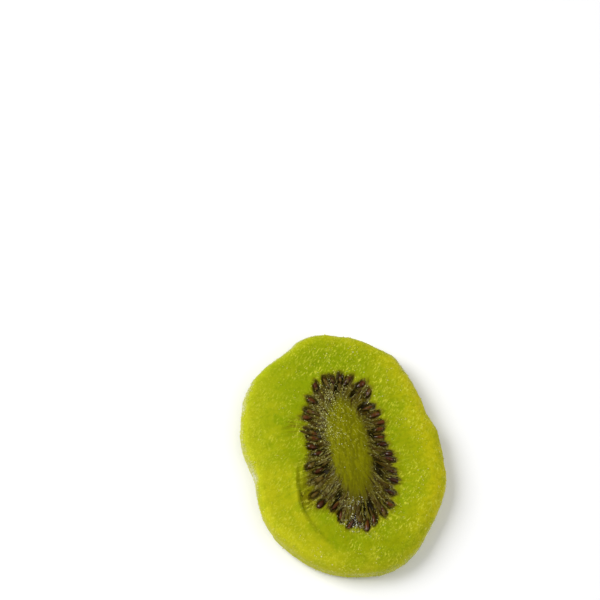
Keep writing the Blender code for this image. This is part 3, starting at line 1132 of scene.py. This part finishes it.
class KIWI_OT_sugar(Step, bpy.types.Operator):
    """Scatter sugar crystals over the flesh, thickest on the edge"""

    bl_idname = "kiwi.sugar"
    bl_label = "Add Sugar"

    DRAW = 5
    STRAY = 0.3  # millimetres between a crystal and its point of the skin, along the skin

    def execute(self, context):
        settings = context.scene.kiwi_sugar
        flesh = bpy.data.objects.get("flesh")
        if flesh is None:
            raise RuntimeError("Add the flesh first: the sugar is placed on it")
        places = vectors(flesh.data.vertices, "co") / MM
        normals = vectors(flesh.data.vertex_normals)
        rays = vectors(flesh.data.attributes["ray"].data)
        frost = frost_share(places, rays[:, 2])
        low_end_sugar_sheen = lobe(angle_of(rays), *LOW_END_SUGAR_SHEEN)
        weight = self.coverage(places, rays, frost, low_end_sugar_sheen)
        draw = np.random.default_rng(self.DRAW)
        chosen = draw.choice(len(places), settings.amount, replace=False, p=weight / weight.sum())
        mesh, block = copies("sugar", self.crystal_shape(), settings.amount)
        crystals = []
        for index in chosen:
            inside = 1.0 - ease((rays[index, 2] - BAND_OUT + 0.05) / 0.05)
            size = settings.size / MM * (0.35 + 0.65 * draw.random() ** 3) * (1.0 - 0.15 * inside)
            sides = size * np.array((1.0, draw.uniform(0.5, 1.0), draw.uniform(0.45, 0.8)))
            angles = draw.uniform(-math.pi, math.pi, 3)
            points = turned(block * sides, *angles) + places[index] + 0.05 * size * normals[index]
            stray = draw.uniform(-self.STRAY, self.STRAY, 3)
            points += stray - normals[index] * (stray @ normals[index])
            # Partly a painted wet sheen: the crystals at the low end of the seed band are whiter.
            clear = inside * mix(0.2, 0.8, float(low_end_sugar_sheen[index]))
            syrup = 1.0 - clear - 0.9 * frost[index] - 0.35 * draw.random() ** 6
            crystals.append((points, {"tone": min(max(syrup, 0.0), 1.0)}))
        add_copies(mesh, crystals, sugar_finish(settings), smooth=False)
        return {"FINISHED"}

    def crystal_shape(self):
        """A short prism that narrows upwards."""
        shape = bmesh.new()
        sizes = {"segments": 5, "radius1": 0.5, "radius2": 0.32, "depth": 0.9}
        bmesh.ops.create_cone(shape, cap_ends=True, cap_tris=False, **sizes)
        return shape

    def coverage(self, places, rays, frost, low_end_sugar_sheen):
        """How likely a crystal is at each point of the skin."""
        core, band, flesh = tissues(rays[:, 2])
        room = np.linalg.norm(places[:, :2] - (CORE_OVAL[:2] - MIDDLE), axis=1) / 20.0
        patches = 0.06 + ease((rough(places, 0.35) - 0.15) / 0.3)
        right = mix(0.35, 1.0, ease((places[:, 0] + 10.0) / 12.0))
        shown = np.where(places[:, 2] > 0.05, 1.0, 0.0)
        glint = lobe(angle_of(rays), *GLINT_SIDE)
        rim = lobe(rays[:, 2], CORE_OUT - 0.01, 0.09)
        clumps = ease((rough(places, 0.9) + 0.1) / 0.3)
        spread = 0.045 * flesh * patches * right + core * (0.0015 + 0.032 * glint)
        # More crystals at the low end of the seed band, partly white sugar and partly a painted wet
        # sheen.
        spread = spread + 0.16 * glint * rim + band * clumps * (0.02 + 0.11 * glint + 0.45 * low_end_sugar_sheen)
        for x, y, reach in CRUSTS:
            away = np.hypot(places[:, 0] - x, places[:, 1] - y) / reach
            spread = spread + 0.2 * np.exp(-(away**2)) * np.where(places[:, 2] > 4.0, 1.0, 0.0)
        wall = ease((rays[:, 2] - 0.95) / 0.04) * ease((4.4 - places[:, 2]) / 1.2)
        spread = spread + 0.07 * wall * (0.3 + patches)
        return room * shown * (spread + 0.9 * frost)


class KIWI_OT_stage(Step, bpy.types.Operator):
    """Add the pale floor, the soft lights and the camera"""

    bl_idname = "kiwi.stage"
    bl_label = "Add Stage"

    def execute(self, context):
        settings = context.scene.kiwi_stage
        self.add_floor(settings)
        self.add_world(context.scene, settings)
        self.add_light("key", settings.key_power, 0.5, (-0.42, 0.28, 0.55))
        self.add_light("fill", settings.fill_power, 0.9, (0.35, -0.35, 0.8))
        self.add_camera(context.scene, settings)
        context.scene.view_settings.view_transform = "Standard"
        return {"FINISHED"}

    def add_floor(self, settings):
        shape = bmesh.new()
        bmesh.ops.create_grid(shape, x_segments=1, y_segments=1, size=0.5 * settings.floor_size)
        bmesh.ops.translate(shape, verts=shape.verts, vec=(0.0, 0.0, -settings.floor_gap))
        mesh = to_mesh("floor", shape)
        mesh.materials.append(floor_finish(settings))
        floor = add_object("floor", mesh)

    def add_world(self, scene, settings):
        world = bpy.data.worlds.new("pale studio")
        world.use_nodes = True
        background = world.node_tree.nodes["Background"]
        background.inputs["Color"].default_value = (1.0, 1.0, 1.0, 1.0)
        background.inputs["Strength"].default_value = settings.world_strength
        scene.world = world

    def add_light(self, name, power, size, place):
        """A square soft box that faces the slice."""
        data = bpy.data.lights.new(name, "AREA")
        data.energy = power
        data.size = size
        light = add_object(name, data)
        light.location = place
        light.rotation_euler = (-Vector(place)).to_track_quat("-Z", "Y").to_euler()

    def add_camera(self, scene, settings):
        """Look at the slice from the photo's side, then turn until it stands at its pixel."""
        azimuth = math.radians(VIEW_AZIMUTH)
        elevation = math.radians(VIEW_ELEVATION)
        level = Vector((math.sin(azimuth), -math.cos(azimuth), 0.0))
        away = level * math.cos(elevation) + Vector((0.0, 0.0, math.sin(elevation)))
        data = bpy.data.cameras.new("camera")
        data.sensor_width = SENSOR
        data.lens = settings.lens
        data.clip_start = 0.01
        pixels = settings.lens / SENSOR * PICTURE
        pan = math.atan((SLICE_PIXEL[0] - 0.5 * PICTURE) / pixels)
        tilt = math.atan((SLICE_PIXEL[1] - 0.5 * PICTURE) / pixels * math.cos(pan))
        look = (-away).to_track_quat("-Z", "Y").to_matrix()
        turn = look @ Matrix.Rotation(tilt, 3, "X") @ Matrix.Rotation(pan, 3, "Y")
        place = Vector(VIEW_POINT) + VIEW_DISTANCE * away
        camera = add_object("camera", data)
        camera.matrix_world = Matrix.Translation(place) @ turn.to_4x4()
        scene.camera = camera


class KIWI_PT_slice(bpy.types.Panel):
    """Operators and settings of the dried kiwi slice"""

    bl_idname = "KIWI_PT_slice"
    bl_label = "Dried Kiwi Slice"
    bl_space_type = "VIEW_3D"
    bl_region_type = "UI"
    bl_category = "Kiwi"

    def draw(self, context):
        for name, (operator, group) in STEPS.items():
            box = self.layout.box()
            box.operator(operator.bl_idname)
            for setting in group.__annotations__:
                label = setting.replace("_", " ").title()
                box.prop(getattr(context.scene, name), setting, text=label)


STEPS = {
    "kiwi_flesh": (KIWI_OT_flesh, FleshSettings),
    "kiwi_seeds": (KIWI_OT_seeds, SeedSettings),
    "kiwi_pods": (KIWI_OT_pods, PodSettings),
    "kiwi_fibres": (KIWI_OT_fibres, FibreSettings),
    "kiwi_sugar": (KIWI_OT_sugar, SugarSettings),
    "kiwi_stage": (KIWI_OT_stage, StageSettings),
}
CLASSES = (*(cls for step in STEPS.values() for cls in step), KIWI_PT_slice)


def register():
    for cls in CLASSES:
        bpy.utils.register_class(cls)
    for name, (_, group) in STEPS.items():
        setattr(bpy.types.Scene, name, PointerProperty(type=group))


def unregister():
    for name in STEPS:
        delattr(bpy.types.Scene, name)
    for cls in reversed(CLASSES):
        bpy.utils.unregister_class(cls)


def main():
    register()
    bpy.ops.kiwi.flesh()
    bpy.ops.kiwi.seeds()
    bpy.ops.kiwi.pods()
    bpy.ops.kiwi.fibres()
    bpy.ops.kiwi.sugar()
    bpy.ops.kiwi.stage()


if __name__ == "__main__":
    main()
